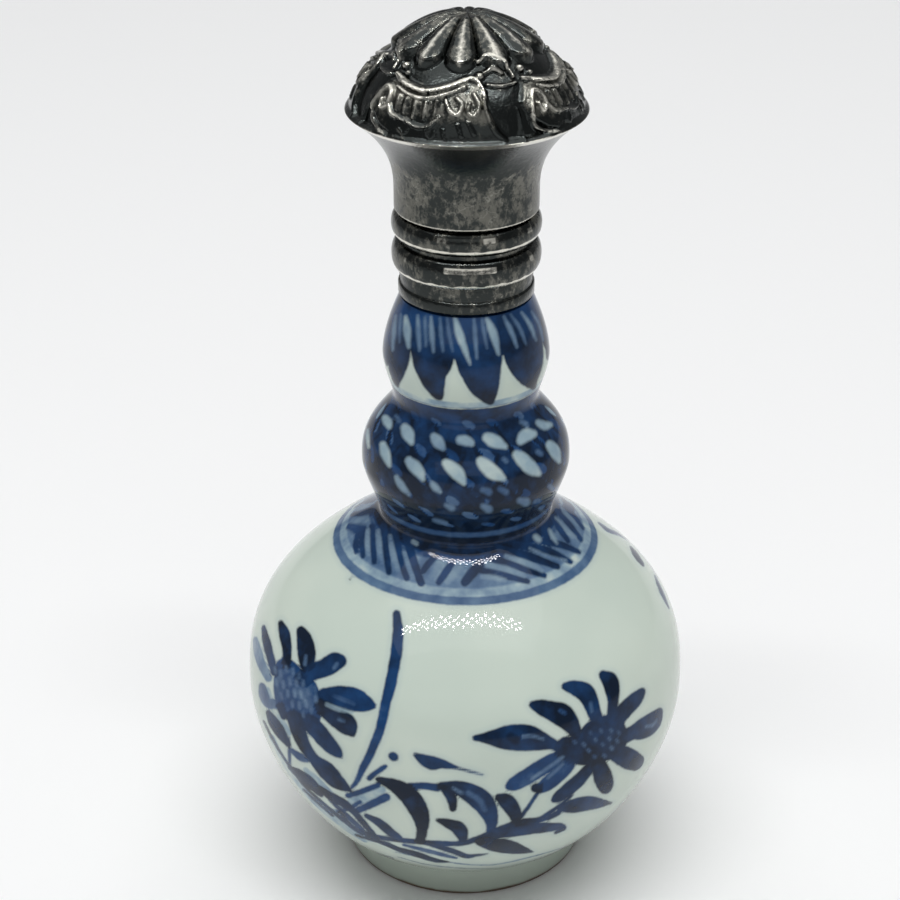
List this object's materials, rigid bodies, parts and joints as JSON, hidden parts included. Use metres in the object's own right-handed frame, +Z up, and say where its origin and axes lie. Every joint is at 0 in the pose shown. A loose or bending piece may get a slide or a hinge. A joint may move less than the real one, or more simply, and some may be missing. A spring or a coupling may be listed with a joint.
{
  "type": "double gourd scent bottle",
  "caption": "Small hollow porcelain bottle in gourd form, painted in underglaze blue, with a turned silver neck collar and a domed, chased silver cap that lifts off.",
  "frame": {"origin": "middle of the foot ring, on the surface that the bottle stands on", "axes": "+Z up along the bottle's turning axis; the picture's view looks along +Y, with +X to its right"},
  "size_m": [0.0478, 0.0478, 0.096],
  "materials": {
    "porcelain": "glossy pale greenish-grey glaze over cobalt blue painting, unglazed foot rim",
    "collar_silver": "turned silver with dark grey tarnish, worn bright along the rings",
    "cap_silver": "chased silver with near-black tarnish in the hollows and pale worn ridges"
  },
  "bodies": {
    "root": {"porcelain_bottle": "porcelain", "silver_collar": "collar_silver", "silver_cap": "cap_silver"}
  },
  "joints": []
}
